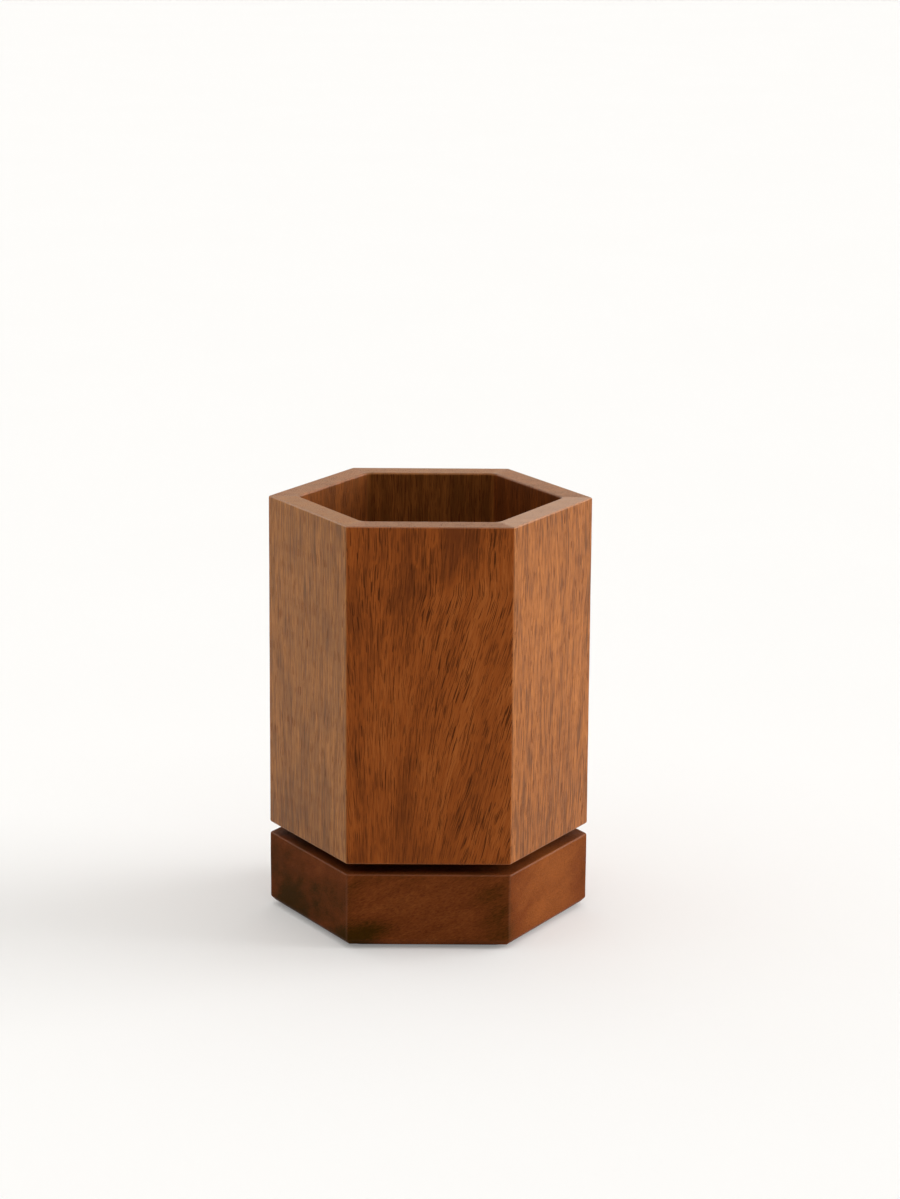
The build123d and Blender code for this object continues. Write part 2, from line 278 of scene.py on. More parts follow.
class Shade:
    """A socket of a node tree. Arithmetic on it adds Math nodes, or Vector Math where it is a vector."""

    def __init__(self, tree, socket=None):
        self.tree = tree
        self.socket = socket

    def node(self, kind, settings=None, sockets=None, output=0):
        """Add a node: settings come first, then the values or links of its sockets."""
        made = self.tree.nodes.new(kind)
        for name, value in (settings or {}).items():
            if name == "stops":
                self.set_stops(made.color_ramp, value)
            else:
                setattr(made, name, value)
        for name, value in (sockets or {}).items():
            if isinstance(value, Shade):
                self.tree.links.new(value.socket, made.inputs[name])
            else:
                made.inputs[name].default_value = value
        return Shade(self.tree, made.outputs[output])

    @staticmethod
    def set_stops(ramp, stops):
        """Give a colour ramp its stops, each a position and a colour."""
        while len(ramp.elements) < len(stops):
            ramp.elements.new(1.0)
        for element, (position, tone) in zip(ramp.elements, stops):
            element.position = position
            element.color = (*tone, 1.0)

    def beside(self, output):
        """Another output of the same node."""
        return Shade(self.tree, self.socket.node.outputs[output])

    def is_vector(self):
        return self.socket.type == "VECTOR"

    def math(self, operation, *operands):
        """A Math node, or a Vector Math node where an operand is a vector."""
        if not any(isinstance(operand, Shade) and operand.is_vector() for operand in operands):
            return self.node("ShaderNodeMath", {"operation": operation}, dict(enumerate(operands)))
        wide = [(o, o, o) if isinstance(o, (int, float)) else o for o in operands]
        return self.node("ShaderNodeVectorMath", {"operation": operation}, dict(enumerate(wide)))

    def __add__(self, other):
        return self.math("ADD", self, other)

    def __radd__(self, other):
        return self.math("ADD", other, self)

    def __sub__(self, other):
        return self.math("SUBTRACT", self, other)

    def __rsub__(self, other):
        return self.math("SUBTRACT", other, self)

    def __mul__(self, other):
        return self.math("MULTIPLY", self, other)

    def __rmul__(self, other):
        return self.math("MULTIPLY", other, self)

    def __truediv__(self, other):
        return self.math("DIVIDE", self, other)

    def __rtruediv__(self, other):
        return self.math("DIVIDE", other, self)

    def dot(self, axis):
        """The part of this vector along an axis."""
        settings = {"operation": "DOT_PRODUCT"}
        return self.node("ShaderNodeVectorMath", settings, {0: self, 1: axis}, "Value")

    def size(self):
        """The length of a vector, or a number without its sign."""
        if self.is_vector():
            return self.node("ShaderNodeVectorMath", {"operation": "LENGTH"}, {0: self}, "Value")
        return self.math("ABSOLUTE", self)

    def larger(self, other):
        return self.math("MAXIMUM", self, other)

    def step(self, low, high):
        """A smooth step from 0 at low to 1 at high."""
        settings = {"interpolation_type": "SMOOTHSTEP"}
        return self.node("ShaderNodeMapRange", settings, {"Value": self, "From Min": low, "From Max": high})

    def mix(self, low, high):
        """The colour that goes from low to high as this value goes from 0 to 1."""
        low, high = ((*tone, 1.0) if isinstance(tone, tuple) else tone for tone in (low, high))
        # The node's three kinds share their sockets' names, so its colour sockets go by their places
        return self.node("ShaderNodeMix", {"data_type": "RGBA"}, {0: self, 6: low, 7: high}, 2)

    def blots(self, size, seed, detail=2.0):
        """Soft noise about 0.5 over these coordinates, with blots of the given size along each of them."""
        scaled = self * tuple(1 / s for s in size) + (seed, seed, seed)
        return self.node("ShaderNodeTexNoise", {}, {"Vector": scaled, "Scale": 1.0, "Detail": detail})


def new_material(name):
    """An empty material, and the Shade that starts its nodes."""
    material = bpy.data.materials.new(name)
    material.use_nodes = True
    return material, Shade(material.node_tree)


def row_place(shade):
    """The point of the surface in the row frame, in millimetres."""
    return shade.node("ShaderNodeTexCoord", output="Object") * (1 / MM)


def finish_surface(material, shade, sockets, height=None, depth=0.0):
    """Link the material's shader: its sockets, and any bump of a depth from a height from 0 to 1."""
    principled = material.node_tree.nodes["Principled BSDF"]
    if height is not None:
        bump = shade.node("ShaderNodeBump", {}, {"Height": height, "Distance": depth, "Strength": 1.0})
        sockets = {**sockets, "Normal": bump}
    for name, value in sockets.items():
        if isinstance(value, Shade):
            material.node_tree.links.new(value.socket, principled.inputs[name])
        else:
            principled.inputs[name].default_value = value
    return material


@dataclass
class Tones:
    """The colours of one wood."""

    light: tuple
    body: tuple
    dark: tuple
    pore: tuple
    sheen: tuple


@dataclass
class StainAndPaintedShade:
    """A dark patch in wood, or a pale one where its share is below 0. Some are stained wood and some are
    painted shade.

    Its centre and reach are millimetres.
    """

    centre: Vector
    reach: float
    share: float


@dataclass
class Grain:
    """How a piece of wood was cut. Lengths are millimetres, leans are slopes and shares are parts of 1.

    A size has three lengths: across the fibres, into the wood and along the fibres. A plank with sawn ends
    that show has a tone for them, and one of the cup has the distance from the axis to its inner face,
    inside which its wood is painted darker as shade.
    """

    across: Vector
    along: Vector
    seed: float
    lean_left: float = 0.0
    lean_right: float = 0.0
    lean_spine: float = 0.0
    lean_spread: float = 14.0
    lean_level: float = 90.0
    wander: float = 1.5
    wander_size: tuple = (26.0, 40.0, 55.0)
    band_share: float = 0.7
    band_size: tuple = (2.2, 4.0, 60.0)
    cloud_share: float = 0.5
    cloud_size: tuple = (11.0, 13.0, 22.0)
    fibre_share: float = 0.6
    fibre_size: tuple = (0.3, 0.35, 6.0)
    pore_share: float = 0.8
    pore_size: tuple = (0.18, 0.24, 4.4)
    fine_pore_size: tuple = (0.15, 0.20, 2.4)
    crowd_size: tuple = (3.0, 4.0, 12.0)
    thinning: float = 0.0
    stains: tuple = ()
    gloss: float = 0.3
    end_tone: tuple = ()
    end_shade: float = 0.18
    end_polish: float = 0.03
    well_face: float = 0.0


def grain_run(shade, place, grain):
    """Coordinates across, into and along the wood, bent to the run of its fibres."""
    across = place.dot(grain.across)
    depth = place.dot(grain.along.cross(grain.across))
    along = place.dot(grain.along)
    straight = shade.node("ShaderNodeCombineXYZ", {}, {"X": across, "Y": depth, "Z": along})
    wander = (straight.blots(grain.wander_size, grain.seed, 3.0) - 0.5) * (grain.wander / NOISE_SWING)
    feather = across.step(grain.lean_spine - grain.lean_spread, grain.lean_spine + grain.lean_spread)
    lean = grain.lean_left + (grain.lean_right - grain.lean_left) * feather
    bent = across + wander + lean * (grain.lean_level - along).larger(0.0)
    return shade.node("ShaderNodeCombineXYZ", {}, {"X": bent, "Y": depth, "Z": along})


def open_pores(run, grain):
    """Where the wood's pores are open: long ones, and short fine ones that are fainter.

    A grain with thinning has fewer of both.
    """
    crowd = CROWDING * (run.blots(grain.crowd_size, grain.seed + 57, 1.0) - 0.5) - grain.thinning
    long_pores = (run.blots(grain.pore_size, grain.seed + 43, 0.0) + crowd).step(*LONG_PORES)
    fine_pores = (run.blots(grain.fine_pore_size, grain.seed + 47, 0.0) + crowd).step(*FINE_PORES)
    return long_pores.larger(FINE_PORE_SHARE * fine_pores)


def wood(name, grain, tones):
    """Oiled hardwood: bands, clouds and stained patches of tone, fibres, open pores, end grain, edges
    lighter from wear and a painted highlight, and painted shade in the well and on some faces.
    """
    material, shade = new_material(name)
    place = row_place(shade)
    run = grain_run(shade, place, grain)
    bands = run.blots(grain.band_size, grain.seed + 11) - 0.5
    clouds = run.blots(grain.cloud_size, grain.seed + 23) - 0.5
    fibres = run.blots(grain.fibre_size, grain.seed + 31) - 0.5
    pores = open_pores(run, grain)
    edge = shade.node("ShaderNodeAttribute", {"attribute_name": EASED}, output="Fac")
    edge = edge * edge

    tone = BODY_TONE + bands * grain.band_share + clouds * grain.cloud_share + fibres * grain.fibre_share
    if grain.end_tone:
        facing = shade.node("ShaderNodeTexCoord", output="Normal")
        end_grain = facing.dot(grain.along).size().step(*END_FACING)
        tone = tone - end_grain * grain.end_shade
    # Painted shade: the wood inside the well is darker
    if grain.well_face:
        outward = place.dot(grain.across.cross(grain.along))
        tone = tone - WELL_PAINTED_SHADE * (1 - outward.step(grain.well_face, grain.well_face + WELL_FADE))
    # Patches of darker and paler tone: stained wood, and painted shade on some faces
    for stain_and_shade in grain.stains:
        away = (place - stain_and_shade.centre).size() / stain_and_shade.reach + STAIN_AND_SHADE_RAGGED * clouds
        tone = tone - stain_and_shade.share * (1 - away.step(*STAIN_AND_SHADE_EDGE))
    stops = [(DARK_TONE, tones.dark), (BODY_TONE, tones.body), (LIGHT_TONE, tones.light)]
    body = shade.node("ShaderNodeValToRGB", {"stops": stops}, {"Fac": tone})
    # Lighter edges: partly wear, partly a painted highlight, brightest along the rim
    rubbed = edge * (EDGE_WEAR_AND_HIGHLIGHT + EDGE_WEAR_AND_HIGHLIGHT_CLOUDS * clouds)
    roughness = WOOD_ROUGHNESS + FIBRE_ROUGHNESS * fibres + PORE_ROUGHNESS * pores
    polish = EDGE_POLISH * edge
    if grain.end_tone:
        body = (END_SHARE * end_grain).mix(body, grain.end_tone)
        rubbed = rubbed * (1 - end_grain)
        roughness = roughness + END_ROUGHNESS * end_grain
        polish = polish.larger(end_grain * grain.end_polish)
    grained = (pores * grain.pore_share).mix(body, tones.pore)
    return finish_surface(
        material,
        shade,
        {
            "Base Color": rubbed.mix(grained, tones.light),
            "Roughness": roughness,
            "Specular IOR Level": grain.gloss,
            "Specular Tint": (*tones.sheen, 1.0),
            "Coat Weight": polish,
            "Coat Roughness": POLISH_ROUGHNESS,
        },
        height=WOOD_LEVEL + FIBRE_RELIEF * fibres - PORE_RELIEF * pores,
        depth=PORE_DEPTH,
    )


def plated(name, bright, dull, roughness, seed, spun):
    """Plated or rolled sheet metal: dull clouds, fine scratches and, where spun, rings round the axis."""
    material, shade = new_material(name)
    place = row_place(shade)
    cloud = place.blots((PLATING_CLOUD,) * 3, seed, 3.0)
    speck = place.blots((PLATING_SPECK,) * 3, seed + 7)
    if spun:
        radius = (place * (1.0, 1.0, 0.0)).size() / RING_WIDTH
        scratch = shade.node("ShaderNodeTexNoise", {"noise_dimensions": "1D"}, {"W": radius, "Scale": 1.0})
    else:
        scratch = place.blots(SCRATCH_SIZE, seed + 13)
    return finish_surface(
        material,
        shade,
        {
            "Base Color": cloud.step(*PLATING_STEP).mix(dull, bright),
            "Metallic": 1.0,
            "Roughness": roughness + CLOUD_ROUGHNESS * (cloud - 0.5) + FINE_ROUGHNESS * (scratch - 0.5),
        },
        height=scratch * SCRATCH_SHARE + speck * (1 - SCRATCH_SHARE),
        depth=SCRATCH_DEPTH,
    )


def moulded(name, body, worn, roughness, pebble, relief, seed):
    """Moulded rubber or plastic: a pebbled skin whose hollows or rubbed patches differ in tone."""
    material, shade = new_material(name)
    place = row_place(shade)
    grit = place.blots((pebble,) * 3, seed)
    patch = place.blots((RUBBED_PATCH,) * 3, seed + 5, 3.0)
    return finish_surface(
        material,
        shade,
        {
            "Base Color": (grit * 0.5 + patch * 0.5).step(*SKIN_STEP).mix(body, worn),
            "Roughness": roughness + CLOUD_ROUGHNESS * (patch - 0.5) + FINE_ROUGHNESS * (grit - 0.5),
        },
        height=grit,
        depth=relief,
    )


def wood_tones(colours, kind):
    """The colours of the cup's or the base's wood."""
    return Tones(*(tuple(getattr(colours, f"{kind}_{part.name}")) for part in fields(Tones)))


def paler(tones, tan, share):
    """The same wood from a plank that is partly tan, with its streaks in step and its pores still red."""

    def towards(tone, goal, scale):
        return tuple(t + share * (scale * g - t) for t, g in zip(tone, goal))

    return Tones(
        towards(tones.light, tan, TAN_LIGHT),
        towards(tones.body, tan, 1.0),
        towards(tones.dark, tan, TAN_DARK),
        towards(tones.pore, tones.dark, 1.0),
        tones.sheen,
    )


@dataclass
class Row:
    """One level line of a six-sided piece: its flats, its corners, its height and how rubbed it is, which
    also sets how much painted highlight its edge gets.
    """

    out: float
    corner: float
    height: float
    eased: float = 0.0


def quarter_turn():
    """Sines and cosines from 0 to 90 degrees."""
    turns = [math.pi / 2 * step / ROUND_STEPS for step in range(ROUND_STEPS + 1)]
    return [(math.sin(turn), math.cos(turn)) for turn in turns]


def lower_edge(out, corner, height, radius):
    """Rows from an underside round to an upright side."""
    return [
        Row(out - radius * (1 - s), corner - radius * (1 - s), height + radius * (1 - c), 2 * s * c)
        for s, c in quarter_turn()
    ]


def chamfered_foot(out, corner, low, chamfer, ease):
    """Rows from an underside up a chamfer to an upright side, with the chamfer's own edges rubbed off."""
    slant = ease / math.sqrt(2)
    bends = (
        ((out - chamfer - ease, low), (out - chamfer, low), (out - chamfer + slant, low + slant)),
        ((out - slant, low + chamfer - slant), (out, low + chamfer), (out, low + chamfer + ease)),
    )
    rows = []
    for start, bend, end in bends:
        for step in range(ROUND_STEPS + 1):
            t = step / ROUND_STEPS
            place, height = (
                (1 - t) ** 2 * a + 2 * t * (1 - t) * b + t**2 * c for a, b, c in zip(start, bend, end)
            )
            rise = (height - low) / (chamfer + ease)
            rows.append(Row(place, corner * rise, height, 2 * t * (1 - t)))
    return rows


def upper_edge(out, corner, height, radius, rub=1.0):
    """Rows from an upright side round to a top, rubbed more or less, which also scales the painted
    highlight.
    """
    return [
        Row(out - radius * (1 - c), corner - radius * (1 - c), height - radius * (1 - s), 2 * rub * s * c)
        for s, c in quarter_turn()
    ]


def mouth_edge(out, corner, height, radius):
    """Rows from a top round into a well."""
    return [
        Row(out + radius * (1 - s), corner + radius * (1 - s), height - radius * (1 - c), 2 * s * c)
        for s, c in quarter_turn()
    ]


def side_rows(out, corner, low, high):
    """Rows up an upright side, between its eased ends."""
    return [Row(out, corner, low + (high - low) * row / FACE_ROWS) for row in range(1, FACE_ROWS)]


def strayed(radius, corner_index, height):
    """The radius of an upright corner where the hand that eased it strayed."""
    stray = noise.noise(Vector((corner_index * EASE_APART, height / EASE_LENGTH, 0.0)))
    return max(SHARP, radius * (1 + EASE_SHARE * stray))


def side_points(row, side, hand_eased):
    """One side of a row from mitre to mitre, as places in the row frame with how rubbed each is."""
    slope = math.tan(HALF_SECTOR)
    turn = Matrix.Rotation(FRONT_ANGLE + side * SECTOR, 3, "Z")
    points = []
    for sign, corner_index in ((-1, side), (1, (side + 1) % SIDE_COUNT)):
        radius = max(SHARP, row.corner)
        if hand_eased:
            radius = strayed(radius, corner_index, row.height)
        centre = row.out - radius
        corner = []
        for step in range(ARC_STEPS + 1):
            bend = HALF_SECTOR * step / ARC_STEPS
            sideways = centre * slope + radius * math.sin(bend)
            place = turn @ Vector((centre + radius * math.cos(bend), sign * sideways, row.height))
            corner.append((place, max(row.eased, step / ARC_STEPS)))
        points += corner if sign > 0 else corner[::-1]
    return points


class Loft:
    """A mesh that grows row by row."""

    def __init__(self):
        self.mesh = bmesh.new()
        self.eased = self.mesh.verts.layers.float.new(EASED)

    def row(self, points):
        """New vertices at places that each come with how rubbed they are."""
        made = []
        for place, eased in points:
            vertex = self.mesh.verts.new(place)
            vertex[self.eased] = eased
            made.append(vertex)
        return made

    def side(self, row, side, hand_eased=False):
        """One side of a six-sided row, from mitre to mitre."""
        return self.row(side_points(row, side, hand_eased))

    def hexagon(self, row, hand_eased=False):
        """All six sides of a row as one loop."""
        sides = [side_points(row, side, hand_eased)[:-1] for side in range(SIDE_COUNT)]
        return self.row([point for points in sides for point in points])

    def circle(self, centre, radius, height, steps=HOLE_STEPS):
        """A round row."""
        turns = [2 * math.pi * step / steps for step in range(steps)]
        return self.row(
            [(centre + Vector((radius * math.cos(t), radius * math.sin(t), height)), 0.0) for t in turns]
        )

    def matched_circle(self, like, radius, height):
        """A round row about the axis, with its vertices at the angles of another row."""
        flat = [Vector((v.co.x, v.co.y, 0.0)).normalized() * radius for v in like]
        return self.row([(place + height * UP, 0.0) for place in flat])

    def skin(self, rows, closed=True):
        """Faces between neighbouring rows."""
        for lower, upper in zip(rows, rows[1:]):
            count = len(lower)
            for i in range(count if closed else count - 1):
                j = (i + 1) % count
                self.mesh.faces.new((lower[i], lower[j], upper[j], upper[i]))

    def cap(self, *loops):
        """A flat face inside the first loop and outside any others."""
        edges = []
        for loop in loops:
            edges += [self.mesh.edges.get((a, b)) for a, b in zip(loop, loop[1:] + loop[:1])]
        bmesh.ops.triangle_fill(self.mesh, use_beauty=True, use_dissolve=False, edges=edges, normal=UP)

    def blind_hole(self, centre, radius, mouth, bottom):
        """A hole with a flat end. Its mouth is returned for the face that it opens in."""
        rows = [self.circle(centre, radius, mouth), self.circle(centre, radius, bottom)]
        self.skin(rows)
        self.cap(rows[1])
        return rows[0]

    def piece(self, name, material):
        """The finished mesh as an object."""
        bmesh.ops.remove_doubles(self.mesh, verts=self.mesh.verts, dist=SHARP / 4)
        bmesh.ops.recalc_face_normals(self.mesh, faces=self.mesh.faces)
        mesh = bpy.data.meshes.new(name)
        self.mesh.to_mesh(mesh)
        self.mesh.free()
        mesh.materials.append(material)
        mesh.polygons.foreach_set("use_smooth", [True] * len(mesh.polygons))
        mesh.set_sharp_from_angle(angle=CREASE)
        made = bpy.data.objects.new(name, mesh)
        bpy.context.scene.collection.objects.link(made)
        weighted = made.modifiers.new("flat faces stay flat", "WEIGHTED_NORMAL")
        weighted.keep_sharp = True
        return made


def seat(made, body, slot, *nodes):
    """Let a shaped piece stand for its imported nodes."""
    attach(made, body)
    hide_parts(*nodes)


def screw_centres(radius, first_angle):
    """Places round the axis of one set of screws."""
    turns = [first_angle + 2 * math.pi * index / SCREW_COUNT for index in range(SCREW_COUNT)]
    return [Vector((radius * math.cos(turn), radius * math.sin(turn), 0.0)) for turn in turns]


def stave_rows(sizes):
    """A stave's section, once round: outer face, rim, well, floor groove and skirt."""
    low, high = STAVE_LOW.z, STAVE_HIGH.z
    well = APOTHEM - sizes.wall
    groove = well + sizes.groove_depth
    groove_top = PANEL_LOW.z + sizes.tongue + sizes.floor_fit
    outer = lower_edge(APOTHEM, sizes.cup_edge, low, sizes.cup_edge)
    outer += side_rows(APOTHEM, sizes.cup_edge, low + sizes.cup_edge, high - sizes.rim_outer)
    outer += upper_edge(APOTHEM, sizes.cup_edge, high, sizes.rim_outer, RIM_WEAR_AND_HIGHLIGHT)
    inner = mouth_edge(well, sizes.well_corner, high, sizes.rim_inner)
    inner += [
        Row(well, sizes.well_corner, groove_top),
        Row(groove, sizes.tongue_corner, groove_top),
        Row(groove, sizes.tongue_corner, PANEL_LOW.z),
        Row(well, sizes.well_corner, PANEL_LOW.z),
        Row(well, sizes.well_corner, low),
    ]
    return outer, inner


def shape_stave(sizes, side, name, material):
    """One mitred stave."""
    outer, inner = stave_rows(sizes)
    loft = Loft()
    rows = [loft.side(row, side, hand_eased=True) for row in outer]
    rows += [loft.side(row, side) for row in inner]
    loft.skin(rows + rows[:1], closed=False)
    for end in (0, -1):
        loft.mesh.faces.new([row[end] for row in rows])
    return loft.piece(name, material)


def shape_floor(sizes, name, material):
    """The cup's floor panel: tongue, field and the pilot holes of the plate's screws."""
    tongue = APOTHEM - sizes.wall + sizes.groove_depth - sizes.floor_fit
    field = APOTHEM - sizes.wall - sizes.floor_fit
    tongue_top = PANEL_LOW.z + sizes.tongue
    loft = Loft()
    rows = [
        loft.hexagon(Row(tongue, sizes.tongue_corner, PANEL_LOW.z)),
        loft.hexagon(Row(tongue, sizes.tongue_corner, tongue_top)),
        loft.hexagon(Row(field, sizes.well_corner, tongue_top)),
    ]
    rows += [loft.hexagon(r) for r in upper_edge(field, sizes.well_corner, PANEL_HIGH.z, sizes.floor_edge)]
    loft.skin(rows)
    circle = BASE_SCREW_HIGH.x - sizes.head_radius
    pilot_top = CUP_SCREW_HIGH.z + sizes.pilot_clearance
    pilots = [
        loft.blind_hole(centre, sizes.pilot_radius, PANEL_LOW.z, pilot_top)
        for centre in screw_centres(circle, CUP_SCREW_ANGLE)
    ]
    loft.cap(rows[0], *pilots)
    loft.cap(rows[-1])
    return loft.piece(name, material)


def shape_base(sizes, name, material):
    """The base block: eased hexagon, round recess, pilot holes and access hole."""
    low, high, seat_level = BASE_LOW.z, BASE_HIGH.z, PLATE_LOW.z
    outer = chamfered_foot(APOTHEM, sizes.base_edge, low, sizes.base_foot, sizes.foot_ease)
    outer += side_rows(APOTHEM, sizes.base_edge, outer[-1].height, high - sizes.base_top)
    outer += upper_edge(APOTHEM, sizes.base_edge, high, sizes.base_top)
    recess = PLATE_HIGH.x + sizes.recess_clearance
    loft = Loft()
    rows = [loft.hexagon(row, hand_eased=True) for row in outer]
    rows += [
        loft.matched_circle(rows[-1], recess + sizes.recess_chamfer, high),
        loft.matched_circle(rows[-1], recess, high - sizes.recess_chamfer),
        loft.matched_circle(rows[-1], recess, seat_level),
    ]
    loft.skin(rows)
    circle = BASE_SCREW_HIGH.x - sizes.head_radius
    pilot_bottom = BASE_SCREW_LOW.z - sizes.pilot_clearance
    openings = [
        loft.blind_hole(centre, sizes.pilot_radius, seat_level, pilot_bottom)
        for centre in screw_centres(circle, BASE_SCREW_ANGLE)
    ]
    access = screw_centres(circle, CUP_SCREW_ANGLE)[0]
    shaft = [loft.circle(access, sizes.access_radius, level) for level in (low, seat_level)]
    loft.skin(shaft)
    loft.cap(rows[0], shaft[0])
    loft.cap(rows[-1], shaft[1], *openings)
    return loft.piece(name, material)


def shape_pad(sizes, name, material):
    """The thin foot pad, chamfered round its underside."""
    out = -PAD_LOW.y
    chamfer = sizes.pad_chamfer
    loft = Loft()
    rows = [
        loft.hexagon(Row(out - chamfer, sizes.pad_corner - chamfer, PAD_LOW.z)),
        loft.hexagon(Row(out, sizes.pad_corner, PAD_LOW.z + chamfer)),
        loft.hexagon(Row(out, sizes.pad_corner, PAD_HIGH.z)),
    ]
    loft.skin(rows)
    loft.cap(rows[0])
    loft.cap(rows[-1])
    return loft.piece(name, material)


def cross_reach(sizes, turn):
    """How far the cross in a screw's head reaches in one direction."""
    quarter = math.pi / 2
    off_arm = (turn + quarter / 2) % quarter - quarter / 2
    by_width = sizes.cross_width / max(abs(math.sin(off_arm)), SHARP)
    return min(sizes.cross_length / math.cos(off_arm), by_width)


def thread_radius(sizes, screw_length, depth, turn):
    """Radius of a screw at a depth below its head, on the helix of its thread."""
    taper = min(1.0, (screw_length - depth) / sizes.screw_point)
    phase = (depth / sizes.thread_pitch - turn / (2 * math.pi)) % 1.0
    ridge = max(0.0, 1 - abs(phase - 0.5) / THREAD_RIDGE)
    return taper * (sizes.screw_radius - sizes.thread_depth * (1 - ridge))


def grow_screw(loft, sizes, centre, seat_level, screw_length, upward):
    """A pan-headed screw with a cross recess and a thread. Its head's underside is at seat_level."""
    turns = [2 * math.pi * step / SCREW_STEPS for step in range(SCREW_STEPS)]

    def ring(radius_of, depth):
        """A row round the screw, at a depth below the underside of the head."""
        height = seat_level + depth if upward else seat_level - depth
        spokes = [Vector((math.cos(t), math.sin(t), 0.0)) * radius_of(t) for t in turns]
        return loft.row([(centre + spoke + height * UP, 0.0) for spoke in spokes])

    def crown(radius):
        """Depth of the domed top at a distance from its middle."""
        return sizes.head_crown * (radius / sizes.head_radius) ** 2 - sizes.head_height

    rim = crown(sizes.cross_length)
    taper_share = 0.7
    rows = [
        ring(lambda t: taper_share * cross_reach(sizes, t), rim + sizes.cross_depth),
        ring(lambda t: cross_reach(sizes, t), rim),
    ]
    dome_rows = 5
    for row in range(1, dome_rows + 1):
        radius = sizes.cross_length + (sizes.head_radius - sizes.cross_length) * row / dome_rows
        rows.append(ring(lambda t: radius, crown(radius)))
    rows.append(ring(lambda t: sizes.head_radius, 0.0))
    row_count = round(THREAD_ROWS * screw_length / sizes.thread_pitch)
    for row in range(row_count):
        depth = screw_length * row / row_count
        rows.append(ring(lambda t: thread_radius(sizes, screw_length, depth, t), depth))
    loft.skin(rows)
    loft.cap(rows[0])
    loft.cap(rows[-1])


def shape_screws(sizes, name, material, seat_level, screw_length, first_angle, upward):
    """One set of plate screws."""
    loft = Loft()
    for centre in screw_centres(BASE_SCREW_HIGH.x - sizes.head_radius, first_angle):
        grow_screw(loft, sizes, centre, seat_level, screw_length, upward)
    return loft.piece(name, material)


def dress(node, material):
    """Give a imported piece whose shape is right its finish."""
    for material_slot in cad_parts[node].material_slots:
        material_slot.material = material


def outer_stain_and_shade(low, high, sides, level_share, reach, share):
    """A patch of tone on an outside, so many sides round from the front and at a share of the piece's
    height.
    """
    turn = FRONT_ANGLE + sides * SECTOR
    level = low.z + level_share * (high.z - low.z)
    corner = APOTHEM / math.cos(HALF_SECTOR)
    return StainAndPaintedShade(Vector((corner * math.cos(turn), corner * math.sin(turn), level)) / MM, reach, share)


def cup_stain_and_shade(sides, level_share, reach, share):
    """A patch of tone on the cup."""
    return outer_stain_and_shade(STAVE_LOW, STAVE_HIGH, sides, level_share, reach, share)


def base_stain_and_shade(sides, level_share, reach, share):
    """A patch of tone on the base."""
    return outer_stain_and_shade(BASE_LOW, BASE_HIGH, sides, level_share, reach, share)


# Each stave's plank: how tan it is, and what sets its cut apart, with painted shade and painted light on
# some
PLANKS = {
    "front": (
        0.0,
        {
            "pore_share": 0.95,
            "thinning": 0.025,
            "band_share": 0.45,
            "cloud_share": 0.65,
            "lean_left": -0.1,
            "lean_right": 0.26,
            "lean_spine": -8.0,
            "stains": (cup_stain_and_shade(0.0, 1.05, 26.0, 0.2), cup_stain_and_shade(0.0, 0.0, 40.0, 0.05)),
        },
    ),
    "front_right": (
        0.5,
        {
            "pore_share": 0.8,
            "thinning": 0.03,
            "fibre_share": 1.5,
            "fibre_size": (0.55, 0.6, 8.0),
            # Painted light: this stave's rim is lighter than the others'
            "end_shade": -0.12,
            "end_polish": 0.5,
            "gloss": 0.2,
            "lean_left": 0.02,
            "lean_right": 0.08,
            # The first patch is painted shade: this stave is darker towards the bottom
            "stains": (cup_stain_and_shade(1.1, -0.05, 34.0, 0.14), cup_stain_and_shade(0.95, 0.65, 30.0, -0.08)),
        },
    ),
    "back_right": (0.2, {"pore_share": 0.95, "thinning": 0.02, "lean_left": -0.05, "lean_right": 0.05}),
    "back": (
        0.6,
        {"pore_share": 0.85, "thinning": 0.025, "lean_left": -0.2, "lean_right": 0.1, "lean_spine": 6.0},
    ),
    "back_left": (0.3, {"pore_share": 0.95, "thinning": 0.02, "lean_left": 0.04, "lean_right": -0.06}),
    "front_left": (
        0.9,
        {
            "pore_share": 0.75,
            "thinning": 0.02,
            "fibre_share": 1.5,
            "fibre_size": (0.65, 0.7, 10.0),
            "lean_left": -0.03,
            "lean_right": 0.03,
            # The first patch is painted shade: this stave is darker towards the bottom
            "stains": (cup_stain_and_shade(-1.0, -0.05, 32.0, 0.16), cup_stain_and_shade(-0.55, 1.0, 20.0, 0.1)),
        },
    ),
}


class PENHOLDER_OT_staves(bpy.types.Operator):
    """Shape the cup's six mitred staves, each from its own plank"""

    bl_idname = "penholder.staves"
    bl_label = "Staves"

    def execute(self, context):
        settings = context.scene.pen_holder
        tones = wood_tones(settings.colours, "cup")
        for side, place in enumerate(STAVE_SIDES):
            turn = FRONT_ANGLE + side * SECTOR
            across = Vector((-math.sin(turn), math.cos(turn), 0.0))
            tan_share, cut = PLANKS[place]
            grain = Grain(
                across,
                UP,
                seed=PLANK_SEED * (side + 1),
                end_tone=tuple(settings.colours.cup_end),
                well_face=(APOTHEM - settings.sizes.wall) / MM,
                **cut,
            )
            plank_tones = paler(tones, settings.colours.cup_tan, tan_share)
            material = wood(f"{place}_stave_wood", grain, plank_tones)
            stave = shape_stave(settings.sizes, side, f"{place}_stave", material)
            seat(stave, "cup", "cup_wood", f"stave_{place}")
        return {"FINISHED"}


class PENHOLDER_OT_cup_floor(bpy.types.Operator):
    """Shape the panel that closes the cup"""

    bl_idname = "penholder.cup_floor"
    bl_label = "Cup floor"

    def execute(self, context):
        settings = context.scene.pen_holder
        grain = Grain(Vector((0.0, 1.0, 0.0)), Vector((1.0, 0.0, 0.0)), seed=131.0)
        material = wood("floor_panel_wood", grain, wood_tones(settings.colours, "cup"))
        panel = shape_floor(settings.sizes, "floor_panel", material)
        seat(panel, "cup", "floor_wood", "cup_floor")
        return {"FINISHED"}


